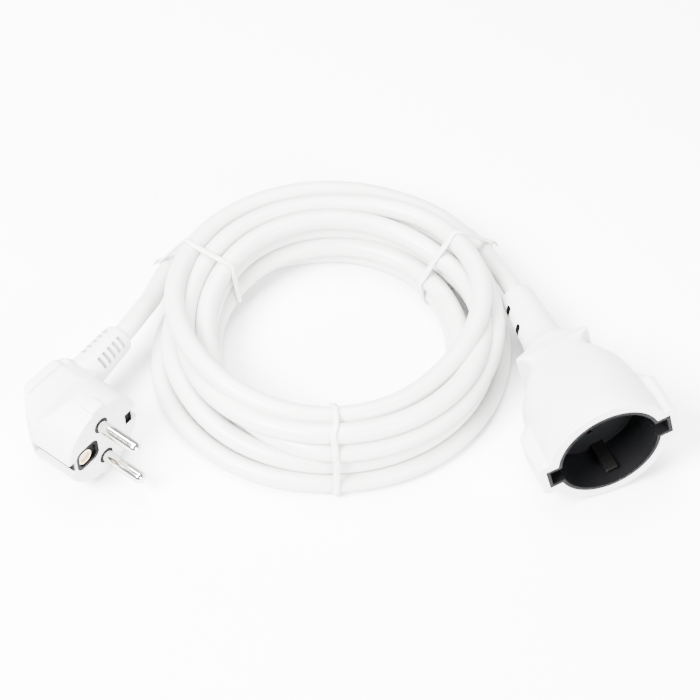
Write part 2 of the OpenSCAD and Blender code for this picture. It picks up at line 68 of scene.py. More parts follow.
# %% Camera
EYE_TURN = math.radians(-20.0)
EYE_RISE = math.radians(51.17)
EYE_FAR = 0.724
EYE_AIM = Vector((-0.0672, 0.0550, 0.0))
eye_back = Vector((
    math.sin(EYE_TURN) * math.cos(EYE_RISE),
    -math.cos(EYE_TURN) * math.cos(EYE_RISE),
    math.sin(EYE_RISE),
))
camera_data = bpy.data.cameras.new("camera")
camera_data.lens = 91.6
camera_data.clip_start = 0.01
camera = bpy.data.objects.new("camera", camera_data)
camera.location = EYE_AIM + EYE_FAR * eye_back
camera.rotation_euler = eye_back.to_track_quat("Z", "Y").to_euler()
bpy.context.scene.collection.objects.link(camera)
bpy.context.scene.camera = camera
print("camera at", [round(c, 3) for c in camera.location])

# %% [markdown]
# Two frames of reference save a lot of arithmetic. The plug is built with X along its
# pins and Y along its strain relief, the socket with Y running back from its mouth and X
# through its pin holes. Each one is then put in place by a matrix that is applied to the
# mesh itself, so that every finished object keeps its own origin at the world's origin.

# %% Places of the plug and the socket
MM = 0.001
SOCKET_TILT = math.radians(4)
SOCKET_ROLL = math.radians(14)
SOCKET_MOUTH = Vector((0, -42.756, 25.258)) * MM
socket_place = (
    Matrix.Translation(SOCKET_MOUTH)
    @ Matrix.Rotation(-SOCKET_TILT, 4, "X")
    @ Matrix.Rotation(-SOCKET_ROLL, 4, "Y")
)
PLUG_TURN = math.radians(-57.6)
plug_place = Matrix.Translation(Vector((-174.8, 30.5, 20.0)) * MM) @ Matrix.Rotation(PLUG_TURN, 4, "Z")
RELIEF_BEND = math.radians(5)
relief_place = (
    plug_place
    @ Matrix.Translation(Vector((-27.5, 21, 0)) * MM)
    @ Matrix.Rotation(RELIEF_BEND, 4, "Z")
    @ Matrix.Rotation(-math.pi / 2, 4, "X")
)
print("plug relief starts at", [round(c, 4) for c in relief_place.translation])

# %% [markdown]
# ## The cord
# A coil tied by hand is never a neat helix. Each turn is described at nine stations round
# the circle by its distance from the middle and its height. The values follow how the
# turns lie on and between each other: the first turn climbs over the bundle at the left
# and again at the right, and the last one runs on the ground outside the others. Two
# touching turns are one cord diameter apart, measured between their middles.

# %% Turns of the coil, station by station
CORD_D = 8.12 * MM
CORD_R = CORD_D / 2
COIL_MIDDLE = Vector((-74.5, 56.6, 0)) * MM
STATION_DEG = [0, 20, 72, 110, 152, 180, 215, 252, 300]
# each pair is (distance from the middle, height) in millimetres
turns = [
    [
        None, (75.0, 16.0), (65.6, 26.2), (65.9, 26.8), (62.8, 28.6),
        (58.2, 29.6), (54.2, 27.8), (52.5, 26.4), (53.0, 27.2),
    ],
    [
        (61.0, 29.6), (61.0, 28.8), (57.2, 26.6), (57.4, 26.4), (57.6, 23.0),
        (58.6, 21.4), (60.0, 24.4), (60.6, 26.6), (61.4, 26.0),
    ],
    [
        (57.4, 21.2), (53.2, 22.6), (49.0, 26.2), (49.0, 25.8), (49.6, 21.8),
        (50.2, 19.8), (56.2, 17.6), (63.4, 19.2), (64.6, 19.6),
    ],
    [
        (65.2, 19.8), (65.0, 19.4), (59.6, 18.6), (59.4, 18.4), (62.6, 16.4),
        (64.4, 15.6), (64.0, 12.4), (63.2, 11.2), (63.6, 11.4),
    ],
    [
        (60.6, 11.8), (57.0, 13.8), (51.2, 18.4), (50.8, 18.0), (49.6, 13.8),
        (50.6, 11.9), (53.4, 10.3), (55.1, 11.2), (54.2, 11.4),
    ],
    [
        (49.6, 12.2), (48.6, 12.2), (47.2, 11.8), (47.0, 11.2), (48.0, 6.0),
        (47.7, 4.6), (48.0, 4.06), (50.8, 4.06), (50.8, 4.06),
    ],
    [
        (50.0, 4.06), (50.2, 4.06), (50.5, 4.06), (54.0, 4.06), (67.4, 4.06),
        (69.6, 4.06), (69.0, 4.06), (66.9, 4.06), (67.8, 4.06),
    ],
    [
        (68.8, 4.06), (69.0, 4.06), (68.6, 4.06), (73.4, 7.6), None,
        None, None, None, None,
    ],
]
stations = []
for turn, row in enumerate(turns):
    for degree, pair in zip(STATION_DEG, row):
        if pair is not None:
            stations.append((360 * turn + degree, pair[0], pair[1]))
print("coil:", len(stations), "stations over", round((stations[-1][0] - stations[0][0]) / 360, 2), "turns")

# %% [markdown]
# Between the stations a smooth curve fills in the rest. A cubic through neighbouring
# values that never swings past them is enough: it keeps one turn from dipping into the
# next. The loop then writes a point every few degrees.

# %% Smooth points along the turns
def slopes(xs, ys):
    steps = [(ys[i + 1] - ys[i]) / (xs[i + 1] - xs[i]) for i in range(len(xs) - 1)]
    out = [steps[0]]
    for left, right in zip(steps, steps[1:]):
        out.append(0.0 if left * right <= 0 else 2 * left * right / (left + right))
    out.append(steps[-1])
    return out


def smooth_value(xs, ys, ms, x):
    i = max(0, min(len(xs) - 2, sum(1 for k in xs if k <= x) - 1))
    h = xs[i + 1] - xs[i]
    s = (x - xs[i]) / h
    a = (1 + 2 * s) * (1 - s) ** 2
    b = s * (1 - s) ** 2
    c = s * s * (3 - 2 * s)
    d = s * s * (s - 1)
    return a * ys[i] + b * h * ms[i] + c * ys[i + 1] + d * h * ms[i + 1]


station_x = [s[0] for s in stations]
station_r = [s[1] for s in stations]
station_z = [s[2] for s in stations]
slope_r = slopes(station_x, station_r)
slope_z = slopes(station_x, station_z)


def coil_point(degree):
    r = smooth_value(station_x, station_r, slope_r, degree)
    z = smooth_value(station_x, station_z, slope_z, degree)
    turn = math.radians(degree)
    return COIL_MIDDLE + Vector((r * math.cos(turn), r * math.sin(turn), z)) * MM


POINT_STEP = 5
degrees = list(range(station_x[0] + 12, station_x[-1] - 5, POINT_STEP))
coil_points = [coil_point(d) for d in degrees]
print("coil:", len(coil_points), "points")

# %% [markdown]
# Outside the coil the cord follows a few listed points: out of the socket's strain
# relief, along the side of the coil and into the first turn, then from the last turn out
# to the plug. The cord starts and ends inside the strain reliefs, as the real one does.

# %% Leads to the socket and to the plug
def spline_through(points, per_span):
    out = []
    for i in range(len(points) - 1):
        p0 = points[max(i - 1, 0)]
        p1 = points[i]
        p2 = points[i + 1]
        p3 = points[min(i + 2, len(points) - 1)]
        for k in range(per_span):
            s = k / per_span
            out.append(0.5 * (
                2 * p1 + (p2 - p0) * s
                + (2 * p0 - 5 * p1 + 4 * p2 - p3) * s * s
                + (3 * p1 - p0 - 3 * p2 + p3) * s ** 3
            ))
    out.append(points[-1])
    return out


def on_socket_axis(t):
    return socket_place @ Vector((0, t * MM, 0))


def on_relief_axis(h):
    return relief_place @ Vector((0, 0, h * MM))


socket_lead = [on_socket_axis(t) for t in (66, 76, 87)]
for x, y, z in [
    (0.3, 50.5, 18.3), (0.3, 57, 17.0), (-0.1, 64, 15.6), (-0.9, 71, 14.6), (-2.4, 78, 14.4),
]:
    socket_lead.append(Vector((x, y, z)) * MM)
plug_lead = []
for x, y, z in [
    (-115.5, 120.6, 9.8), (-122.4, 115.6, 11.0), (-128.4, 109.4, 12.2),
    (-133.6, 102.4, 13.8), (-138.2, 95.4, 15.8), (-143.0, 89.4, 18.2),
]:
    plug_lead.append(Vector((x, y, z)) * MM)
plug_lead += [on_relief_axis(h) for h in (25, 16, 6, -5)]

PER_SPAN = 6
join_a = spline_through(socket_lead + coil_points[:3], PER_SPAN)[: PER_SPAN * len(socket_lead)]
join_b = spline_through(coil_points[-3:] + plug_lead, PER_SPAN)[2 * PER_SPAN + 1:]
cord_points = join_a + coil_points + join_b
cord_length = sum((b - a).length for a, b in zip(cord_points, cord_points[1:]))
print("cord:", len(cord_points), "points,", round(cord_length, 3), "m")

# %% [markdown]
# ## Materials
# Each finish is a small node tree. A noise texture in object coordinates varies the
# colour and the roughness a little, and a second, finer one gives the surface its grain
# through a bump node, so that no surface is perfectly even. Moulded PVC is soft and
# slightly glossy; the ties are the same plastic over wire.

# %% Finishes made of nodes
def finish(name, colour, rough, metal=0.0, vary=0.04, grain=0.02, grain_scale=900.0, gloss=0.5, edge=1.0):
    mat = bpy.data.materials.new(name)
    mat.use_nodes = True
    tree = mat.node_tree
    shader = tree.nodes["Principled BSDF"]
    where = tree.nodes.new("ShaderNodeTexCoord")
    cloud = tree.nodes.new("ShaderNodeTexNoise")
    cloud.inputs["Scale"].default_value = 60.0
    cloud.inputs["Detail"].default_value = 3.0
    tree.links.new(where.outputs["Object"], cloud.inputs["Vector"])
    tint = tree.nodes.new("ShaderNodeMix")
    tint.data_type = "RGBA"
    tint.inputs[6].default_value = (*[c * (1 - vary) for c in colour], 1)
    tint.inputs[7].default_value = (*[min(1.0, c * (1 + vary)) for c in colour], 1)
    tree.links.new(cloud.outputs["Fac"], tint.inputs[0])
    tree.links.new(tint.outputs[2], shader.inputs["Base Color"])
    spread = tree.nodes.new("ShaderNodeMapRange")
    spread.inputs["To Min"].default_value = max(0.02, rough - 0.05)
    spread.inputs["To Max"].default_value = rough + 0.05
    tree.links.new(cloud.outputs["Fac"], spread.inputs["Value"])
    tree.links.new(spread.outputs["Result"], shader.inputs["Roughness"])
    fine = tree.nodes.new("ShaderNodeTexNoise")
    fine.inputs["Scale"].default_value = grain_scale
    fine.inputs["Detail"].default_value = 2.0
    tree.links.new(where.outputs["Object"], fine.inputs["Vector"])
    bump = tree.nodes.new("ShaderNodeBump")
    bump.inputs["Strength"].default_value = grain
    bump.inputs["Distance"].default_value = 0.0002
    tree.links.new(fine.outputs["Fac"], bump.inputs["Height"])
    tree.links.new(bump.outputs["Normal"], shader.inputs["Normal"])
    shader.inputs["Metallic"].default_value = metal
    shader.inputs["Specular IOR Level"].default_value = gloss
    shader.inputs["Specular Tint"].default_value = (edge, edge, edge, 1)
    return mat


WHITE = (0.60, 0.60, 0.592)
finishes = {
    "white_pvc": finish("white_pvc", WHITE, 0.42, grain=0.10),
    # darker grey PVC: painted shade for the walls of the deep strain-relief slots
    "painted_shade_pvc": finish("painted_shade_pvc", (0.44, 0.44, 0.435), 0.6),
    "cord_pvc": finish("cord_pvc", (0.58, 0.58, 0.566), 0.36, grain=0.05),
    "tie_pvc": finish("tie_pvc", (0.62, 0.62, 0.605), 0.34, grain=0.10),
    "black_plastic": finish("black_plastic", (0.004, 0.004, 0.0045), 0.5, grain=0.08, gloss=0.04),
    "grey_plastic": finish("grey_plastic", (0.62, 0.62, 0.60), 0.5),
    "red_plastic": finish("red_plastic", (0.60, 0.07, 0.02), 0.3),
    "nickel": finish("nickel", (0.82, 0.81, 0.79), 0.10, metal=1.0, grain=0.0, edge=0.02),
    # bright spring metal painted nearly black: painted shade for the dark recess where the earth strips
    # sit
    "spring_strip": finish("spring_strip", (0.05, 0.05, 0.048), 0.38, metal=1.0, grain=0.10, edge=0.05),
    "brass": finish("brass", (0.78, 0.60, 0.32), 0.25, metal=1.0),
    "tin": finish("tin", (0.72, 0.71, 0.68), 0.35, metal=1.0),
    "core_brown": finish("core_brown", (0.16, 0.07, 0.03), 0.5),
    "core_blue": finish("core_blue", (0.03, 0.10, 0.42), 0.5),
    "core_green_yellow": finish("core_green_yellow", (0.36, 0.52, 0.04), 0.5),
    # near black: painted shadow for recesses where no light reaches, not a colour of the plastic
    "painted_shadow_black": finish("painted_shadow_black", (0.006, 0.006, 0.006), 0.8, gloss=0.1),
}
print("finishes:", len(finishes))

# %% [markdown]
# ## Tools for making meshes
# Two makers are enough for every piece here. `skin` takes a flat grid from
# `bmesh.ops.create_grid` and moves each of its corners to where a function puts it; the
# grid's two side edges meet and are welded, so the result is a closed sleeve. `solid`
# turns a finished bmesh into an object, with smooth shading except at sharp edges.

# %% Mesh tools
def skin(bm, rows, around, where):
    made = bmesh.ops.create_grid(bm, x_segments=around, y_segments=rows, size=0.5)
    for v in made["verts"]:
        u = v.co.x + 0.5
        w = v.co.y + 0.5
        v.co = where(2 * math.pi * u, int(round(w * rows)))
    bmesh.ops.remove_doubles(bm, verts=made["verts"], dist=1e-7)
    return made["verts"]


def solid(name, bm, place, material, sharp_deg=40):
    bmesh.ops.recalc_face_normals(bm, faces=bm.faces)
    bmesh.ops.transform(bm, matrix=place, verts=bm.verts)
    mesh = bpy.data.meshes.new(name)
    bm.to_mesh(mesh)
    bm.free()
    mesh.materials.append(finishes[material])
    mesh.shade_smooth()
    mesh.set_sharp_from_angle(angle=math.radians(sharp_deg))
    obj = bpy.data.objects.new(name, mesh)
    bpy.context.scene.collection.objects.link(obj)
    return obj


def clamp(x, low=0.0, high=1.0):
    return max(low, min(high, x))


def ease(x):
    x = clamp(x)
    return x * x * (3 - 2 * x)


def steps(a, b, n):
    return [a + (b - a) * k / n for k in range(n + 1)]


def table_value(table, x):
    xs = [p[0] for p in table]
    ys = [p[1] for p in table]
    return smooth_value(xs, ys, slopes(xs, ys), clamp(x, xs[0], xs[-1]))


print("mesh tools ready")

# %% [markdown]
# ## The round cord
# The cord is one curve with a round section. Its points carry the route worked out above.
# It replaces the three plain solids that stand for it in the engineering model.

# %% The cord as a curve
cord_curve = bpy.data.curves.new("cord", "CURVE")
cord_curve.dimensions = "3D"
cord_curve.bevel_depth = CORD_R
cord_curve.bevel_resolution = 8
cord_curve.use_fill_caps = True
line = cord_curve.splines.new("POLY")
line.points.add(len(cord_points) - 1)
for point, co in zip(line.points, cord_points):
    point.co = (*co, 1)
line.use_smooth = True
cord_curve.materials.append(finishes["cord_pvc"])
cord = bpy.data.objects.new("cord", cord_curve)
bpy.context.scene.collection.objects.link(cord)
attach(cord, "cord_set")
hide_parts("cord_coil", "cord_plug_lead", "cord_socket_lead")
print("cord curve with", len(line.points), "points")

# %% [markdown]
# ## The wire ties
# A tie is pulled round the bundle by hand. It runs straight from one outer turn to the
# next, which is the convex outline of the turns' sections, a little outside the cord. The
# loop finds where the cord crosses the plane of each tie, takes the outline of those
# circles and sweeps a thin rounded band along it. The ends are twisted to a short tail.

# %% Sections of the bundle and their outline
TIE_DEG = {"tie_left": 131.5, "tie_right": 14.5, "tie_front": -108.5}
TIE_HALF_WIDTH = 1.2 * MM
TIE_HALF_THICK = 0.55 * MM
TIE_GAP = 0.6 * MM
TAIL_ROWS = 24


def section(degree):
    turn = math.radians(degree)
    out_dir = Vector((math.cos(turn), math.sin(turn), 0))
    side_dir = Vector((-math.sin(turn), math.cos(turn), 0))
    found = []
    for a, b in zip(cord_points, cord_points[1:]):
        sa = (a - COIL_MIDDLE).dot(side_dir)
        sb = (b - COIL_MIDDLE).dot(side_dir)
        if sa * sb <= 0 and sa != sb:
            p = a + (b - a) * (sa / (sa - sb))
            r = (p - COIL_MIDDLE).dot(out_dir)
            if 0.04 < r < 0.09:
                found.append((r, p.z))
    return out_dir, side_dir, found


def outline(centres, radius, count=120):
    points = []
    for k in range(count):
        angle = 2 * math.pi * k / count
        d = (math.cos(angle), math.sin(angle))
        best = max(centres, key=lambda c: c[0] * d[0] + c[1] * d[1])
        points.append((best[0] + radius * d[0], best[1] + radius * d[1]))
    out = []
    for i, p in enumerate(points):
        q = points[(i + 1) % count]
        gap = math.dist(p, q)
        for k in range(max(1, int(gap / 0.0016))):
            s = k / max(1, int(gap / 0.0016))
            out.append((p[0] + (q[0] - p[0]) * s, p[1] + (q[1] - p[1]) * s))
    return out


def make_tie(name, degree):
    out_dir, side_dir, centres = section(degree)
    loop = outline(centres, CORD_R + TIE_GAP)
    loop = [(r, max(z, 0.0007)) for r, z in loop]
    place = Matrix((
        (out_dir.x, side_dir.x, 0, COIL_MIDDLE.x),
        (out_dir.y, side_dir.y, 0, COIL_MIDDLE.y),
        (0, 0, 1, 0),
        (0, 0, 0, 1),
    ))
    n = len(loop)

    def where(angle, row):
        r, z = loop[row % n]
        ra, za = loop[(row - 1) % n]
        rb, zb = loop[(row + 1) % n]
        t = Vector((rb - ra, zb - za))
        t.normalize()
        c = math.cos(angle)
        s = math.sin(angle)
        wide = TIE_HALF_WIDTH * math.copysign(abs(c) ** 0.7, c)
        deep = TIE_HALF_THICK * math.copysign(abs(s) ** 0.7, s)
        sway = 0.0006 * math.sin(9 * row / n * math.pi)
        return Vector((r + t.y * deep, wide + sway, z - t.x * deep))

    bm = bmesh.new()
    skin(bm, n, 16, where)
    bmesh.ops.remove_doubles(bm, verts=bm.verts, dist=1e-6)
    outer = max(loop, key=lambda p: p[0] + 0.3 * p[1])
    tail = Vector((outer[0], 0, outer[1]))

    def tail_where(angle, row):
        s = row / TAIL_ROWS
        twist = 5 * math.pi * s
        lean = tail + Vector((0.0005 + 0.0032 * s, 0.0012 * math.sin(3 * s), -0.0035 * s * s))
        end = 1 if row < TAIL_ROWS else 0.4
        c = 0.0011 * math.cos(angle) * end
        d = 0.0006 * math.sin(angle) * end
        across = c * math.cos(twist) - d * math.sin(twist)
        up = c * math.sin(twist) + d * math.cos(twist)
        return lean + Vector((0, across, up))

    skin(bm, TAIL_ROWS, 12, tail_where)
    bmesh.ops.holes_fill(bm, edges=bm.edges, sides=14)
    tie = solid(name + "_band", bm, place, "tie_pvc")
    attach(tie, "cord_set")
    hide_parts(name)
    print(name, "round", len(centres), "strands,", n, "steps")
    return tie


ties = [make_tie(name, degree) for name, degree in TIE_DEG.items()]

# %% [markdown]
# ## The plug's white body
# The body is an elbow: a round front whose axis follows the pins, and a flat-topped rear
# block that carries the cord off to the side. One sleeve of rows from the face to the back
# gives both: each row is a rounded square whose width, squareness and height change along
# the way, and a height limit cuts the sloping grip surface out of the round front.

# %% Rows of the plug's body
BODY_LEFT = [
    (-34.6, -4.6), (-34.2, -5.4), (-31.0, -8.8), (-28.0, -11.8), (-23.8, -15.4), (-21.5, -16.9),
    (-19.0, -18.1), (-16.0, -18.5), (0.0, -18.5),
]
BODY_RIGHT = [
    (-34.6, 12.2), (-34.2, 13.2), (-33.0, 16.2), (-31.0, 19.2), (-27.5, 20.8), (-22.0, 20.3),
    (-19.0, 18.9), (-16.0, 18.5), (0.0, 18.5),
]
BODY_SQUARE = [(-34.6, 4.6), (-30.0, 4.2), (-24.0, 3.3), (-19.0, 2.4), (-15.0, 2.0), (0.0, 2.0)]
BAND_FROM = -34.4
BAND_TO = -29.9


def edge(x, low, high, soft):
    return ease((x - low) / soft) * ease((high - x) / soft)


def grip_height(a, b):
    rise = 0.86 * (a + 19.3)
    top = 12.1 + 0.5 * (rise + math.sqrt(rise * rise + 1.2))
    top -= 1.3 * (min(abs(b), 17.0) / 15.0) ** 2
    top -= 0.40 * max(0.0, b - 10.5) + 0.25 * max(0.0, b - 14.5)
    top += 0.75 * edge(a, BAND_FROM - 1.0, BAND_TO, 0.7) * edge(b, -8.0, 12.2, 0.9)
    top -= 0.35 * edge(a, BAND_TO - 0.1, BAND_TO + 0.7, 0.35) * edge(b, -7.6, 11.5, 1.5)
    top += 1.3 * math.exp(-((a + 31.6) ** 2 / 4.0 + (b - 15.4) ** 2 / 2.2))
    if a < -33.6:
        top -= 1.1 * (-33.6 - a) ** 2
    return top


def body_point(angle, a, shrink=1.0):
    left = table_value(BODY_LEFT, a)
    right = table_value(BODY_RIGHT, a)
    power = 2.0 / table_value(BODY_SQUARE, a)
    c = math.cos(angle)
    s = math.sin(angle)
    b = (left + right) / 2 + (right - left) / 2 * math.copysign(abs(c) ** power, c)
    z = 18.5 * abs(s) ** power
    spare = grip_height(a, b) - z
    z = grip_height(a, b) - 0.5 * (spare + math.sqrt(spare * spare + 0.12))
    z = max(0.0, z)
    middle = (left + right) / 2
    return Vector((a, middle + (b - middle) * shrink, math.copysign(z, s) * shrink)) * MM


body_rows = [(0.0, 0.0), (0.0, 0.4), (0.0, 0.8), (0.0, 0.955), (-0.08, 0.978), (-0.3, 0.993), (-0.7, 1.0)]
body_rows += [(a, 1.0) for a in steps(-1.5, -19.0, 24)]
body_rows += [(a, 1.0) for a in steps(-19.4, -34.2, 60)]
body_rows += [(-34.45, 0.99), (-34.6, 0.96), (-34.6, 0.5), (-34.6, 0.0)]
print("plug body:", len(body_rows), "rows")

# %% [markdown]
# The strain relief is turned on its own axis, which leans back a little from the square. It
# starts inside the body and ends in a rounded rim round the cord. A boolean modifier is the
# tool for joining the two and for sinking the openings: the rings of the pins, the frame of
# the earth hole, the grooves of the side contacts and the slots that let the relief bend.

# %% Rows of the strain relief
RELIEF = [(-6.0, 7.3), (0.0, 7.25), (10.0, 6.8), (17.5, 6.4), (19.0, 6.2), (20.0, 5.7), (20.4, 4.9)]
relief_rows = [(-6.0, 0.0), (-6.0, 4.0)]
relief_rows += [(h, table_value(RELIEF, h)) for h in steps(-6.0, 17.5, 24)]
relief_rows += [(h, table_value(RELIEF, h)) for h in steps(17.8, 20.4, 9)]
relief_rows += [(20.4, 4.14), (17.0, 4.12), (17.0, 0.0)]
print("strain relief:", len(relief_rows), "rows")

# %% [markdown]
# Four helpers follow. `rough` makes an unshaded object from a bmesh. `combine` applies a
# boolean modifier, and keeps the cutter's finish on the faces that it cuts. `dress` puts
# the finished object in its place, and `box` makes a cutter with rounded corners.

# %% A joiner and its helpers


def rough(name, bm, shade="white_pvc"):
    bmesh.ops.recalc_face_normals(bm, faces=bm.faces)
    mesh = bpy.data.meshes.new(name)
    bm.to_mesh(mesh)
    bm.free()
    mesh.materials.append(finishes[shade])
    obj = bpy.data.objects.new(name, mesh)
    bpy.context.scene.collection.objects.link(obj)
    return obj


def combine(base, tool, operation):
    step = base.modifiers.new("step", "BOOLEAN")
    step.operation = operation
    step.solver = "EXACT"
    step.material_mode = "TRANSFER"
    step.object = tool
    graph = bpy.context.evaluated_depsgraph_get()
    made = bpy.data.meshes.new_from_object(base.evaluated_get(graph))
    base.modifiers.clear()
    base.data = made
    bpy.data.objects.remove(tool)


def dress(obj, place, sharp_deg=32):
    obj.data.transform(place)
    obj.data.shade_smooth()
    obj.data.set_sharp_from_angle(angle=math.radians(sharp_deg))
    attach(obj, "cord_set")
    return obj


def round_edges(bm, edges, amount, segments):
    bmesh.ops.bevel(
        bm, geom=edges, offset=amount * MM, affect="EDGES",
        segments=segments, profile=0.5, material=-1,
    )


def box(bm, low, high, turn=Matrix.Identity(4), round_off=0.0):
    size = Vector(high) - Vector(low)
    middle = (Vector(high) + Vector(low)) / 2
    place = turn @ Matrix.Translation(middle * MM) @ Matrix.Diagonal((*(size * MM), 1))
    made = bmesh.ops.create_cube(bm, size=1.0, matrix=place)
    if round_off:
        edges = list({e for v in made["verts"] for e in v.link_edges})
        round_edges(bm, edges, round_off, 3)


print("helpers ready")

# %% [markdown]
# The body, the relief and the two keys are joined first, before anything is cut out.

# %% The plug's body, joined
BODY_SEGMENTS = 220
bm = bmesh.new()
skin(bm, len(body_rows) - 1, BODY_SEGMENTS, lambda angle, row: body_point(angle, *body_rows[row]))
plug_body = rough("plug_body", bm)
lean = plug_place.inverted() @ relief_place


def relief_point(angle, row):
    h, r = relief_rows[row]
    return lean @ (Vector((r * math.cos(angle), r * math.sin(angle), h)) * MM)


bm = bmesh.new()
skin(bm, len(relief_rows) - 1, 96, relief_point)
combine(plug_body, rough("relief", bm), "UNION")
bm = bmesh.new()
for low_z, high_z in [(-20.0, -17.0), (17.0, 20.0)]:
    box(bm, (-6.5, -2.8, low_z), (0.0, 2.8, high_z), round_off=0.35)
combine(plug_body, rough("keys", bm), "UNION")
print("plug body joined:", len(plug_body.data.polygons), "faces")

# %% [markdown]
# The openings are cut after that: two round ones for the pins' collars, a square one with
# round corners for the earth hole, the grooves of the side contacts, one contact's room in
# the face, and four rows of five slots in the strain relief.

# %% Openings of the plug's body
PIN_HALF_PITCH = 9.5
COLLAR_R = 3.45
OPENING_DEPTH = 3.3
EARTH_FRAME = (11.6, 10.5)
EARTH_FRAME_B = -8.8
SLOT_TURN = -43
SLOT_FIRST = 3.4
SLOT_PITCH = 3.1
along_pins = Matrix.Rotation(math.radians(90), 4, "Y")
bm = bmesh.new()
for side in (-1, 1):
    collar_place = Matrix.Translation(Vector((0, 0, side * PIN_HALF_PITCH)) * MM) @ along_pins
    bmesh.ops.create_cone(
        bm, cap_ends=True, segments=64, radius1=COLLAR_R * MM, radius2=COLLAR_R * MM,
        depth=OPENING_DEPTH * MM, matrix=collar_place,
    )
frame_size = Vector((OPENING_DEPTH, *EARTH_FRAME)) * MM
frame_place = Matrix.Translation(Vector((0, EARTH_FRAME_B, 0)) * MM) @ Matrix.Diagonal((*frame_size, 1))
made = bmesh.ops.create_cube(bm, size=1.0, matrix=frame_place)
corners = list({
    e for v in made["verts"] for e in v.link_edges
    if abs(e.verts[0].co.x - e.verts[1].co.x) > 1e-6
})
round_edges(bm, corners, 3.0, 6)
box(bm, (-19.0, -26.0, -3.0), (1.0, -15.4, 3.0))
box(bm, (-19.0, 15.4, -3.0), (1.0, 26.0, 3.0))
combine(plug_body, rough("openings", bm), "DIFFERENCE")
bm = bmesh.new()
box(bm, (-1.55, 11.9, -2.9), (1.0, 15.3, 2.9))
# The contact's room is lined with near-black painted shadow, standing in for the shade inside it.
combine(plug_body, rough("side_contact_room", bm, "painted_shadow_black"), "DIFFERENCE")
bm = bmesh.new()
for row in range(4):
    for k in range(5):
        around = Matrix.Rotation(math.radians(SLOT_TURN + 90 * row), 4, "Z")
        along = Matrix.Translation(Vector((0, 0, SLOT_FIRST + SLOT_PITCH * k)) * MM)
        turn = lean @ around @ along
        box(bm, (4.4, -2.7, -0.85), (9.0, 2.7, 0.85), turn=turn, round_off=0.6)
# The slot walls take the darker grey: painted shade standing in for the shadow deep in the slots.
combine(plug_body, rough("slots", bm, "painted_shade_pvc"), "DIFFERENCE")
dress(plug_body, plug_place)
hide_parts("plug_overmould")
print("plug body finished:", len(plug_body.data.polygons), "faces")

# %% [markdown]
# ## The socket's white shell
# The shell is a bell with a ring at its mouth and two wings for the key notches, then a
# waist with two finger scoops, a ridge, and a tapering strain relief. All of it is one
# closed sleeve round the axis. In each row the radius is the smallest of three limits: the
# round bell, the flank with its scoop, and the flattened crown. The wings are added where
# they reach further out. Inside, the same sleeve turns back and lines the room of the insert.

# %% Rows of the socket's shell
BELL = [
    (0.0, 24.9), (6.0, 24.85), (14.0, 24.2), (22.0, 23.5), (27.0, 23.0), (31.0, 22.2),
    (34.0, 21.4), (37.0, 20.4), (40.0, 18.6), (43.2, 17.8), (45.2, 19.2), (46.6, 22.2),
    (47.9, 22.0), (49.2, 17.6), (50.6, 15.6), (53.0, 13.2), (57.0, 9.6), (60.0, 8.45),
    (84.5, 6.75), (86.2, 6.5), (86.8, 6.1), (87.0, 5.6),
]
FLANK = [
    (26.0, 30.0), (30.0, 24.0), (33.0, 19.0), (35.0, 16.8), (37.2, 14.6), (38.5, 13.2),
    (40.5, 12.0), (43.5, 11.8), (45.4, 12.8), (46.6, 15.0), (47.7, 15.2), (48.6, 14.5),
    (50.4, 13.2), (53.0, 11.8), (57.0, 12.0), (60.0, 14.0), (62.0, 20.0),
]
CROWN = [
    (6.0, 32.0), (10.0, 27.0), (14.0, 25.2), (20.0, 23.2), (26.0, 21.2), (32.0, 19.0),
    (38.0, 16.8), (44.0, 14.9), (46.5, 14.2), (48.0, 13.4), (50.0, 12.6), (53.0, 11.8),
    (57.0, 12.0), (60.0, 14.0), (62.0, 20.0),
]


def limit(table, t, first, last):
    if t < first or t > last:
        return 60.0
    return table_value(table, t)


def wing_radius(c, s, t):
    back = clamp((t - 17.5) / 8.5)
    x = 28.0 - 7.0 * back
    z = 8.5 - 2.0 * back
    if t > 26.0:
        return 0.0
    flat_side = x / max(abs(c), 1e-6)
    flat_top = z / max(abs(s), 1e-6)
    corner = (1.5 * x + 2.0 * z - 3.0) / (1.5 * abs(c) + 2.0 * abs(s))
    return min(flat_side, flat_top, corner)


def outer_radius(angle, t):
    c = math.cos(angle)
    s = math.sin(angle)
    sides = (
        table_value(BELL, t),
        limit(FLANK, t, 26.0, 62.0) / max(abs(c), 1e-3),
        limit(CROWN, t, 6.0, 62.0) / max(abs(s), 1e-3),
    )
    p = 22.0
    r = sum((1.0 / k) ** p for k in sides) ** (-1.0 / p)
    return max(r, wing_radius(c, s, t))


def insert_radius(angle):
    c = abs(math.cos(angle))
    s = abs(math.sin(angle))
    return max(20.92, min(25.42 / max(c, 1e-6), 5.12 / max(s, 1e-6)))


first_quarter = [0, 2.5, 5, 7.5, 9.5, 11.3, 11.45, 12.4, 13.4, 14.1, 14.25]
first_quarter += [15.2, 16.1, 16.8, 17.3, 18.3, 19.0, 19.7, 20.4, 21.5]
first_quarter += [23 + 2.0 * k for k in range(34)]
half = first_quarter + [180 - a for a in reversed(first_quarter)]
shell_angles = [math.radians(a) for a in half + [180 + a for a in half[1:-1]]]
shell_rows = [(37.9, "fixed", 0.0), (37.9, "fixed", 14.2), (24.62, "fixed", 14.2)]
shell_rows += [(24.62, "fixed", 17.65), (20.02, "fixed", 17.65)]
shell_rows += [(t, "insert", 0.0) for t in (20.02, 14.0, 8.0, 3.0, 0.0)]
shell_rows += [(0.0, "face", k) for k in (0.35, 0.7, 0.88)]
shell_rows += [(0.06, "face", 0.95), (0.3, "face", 0.99)]
outer_t = [0.7, 2.5, 4.5, 6, 8, 10, 12, 14, 16, 17.5, 18, 19, 20, 21, 22, 23, 24, 25, 25.6, 26]
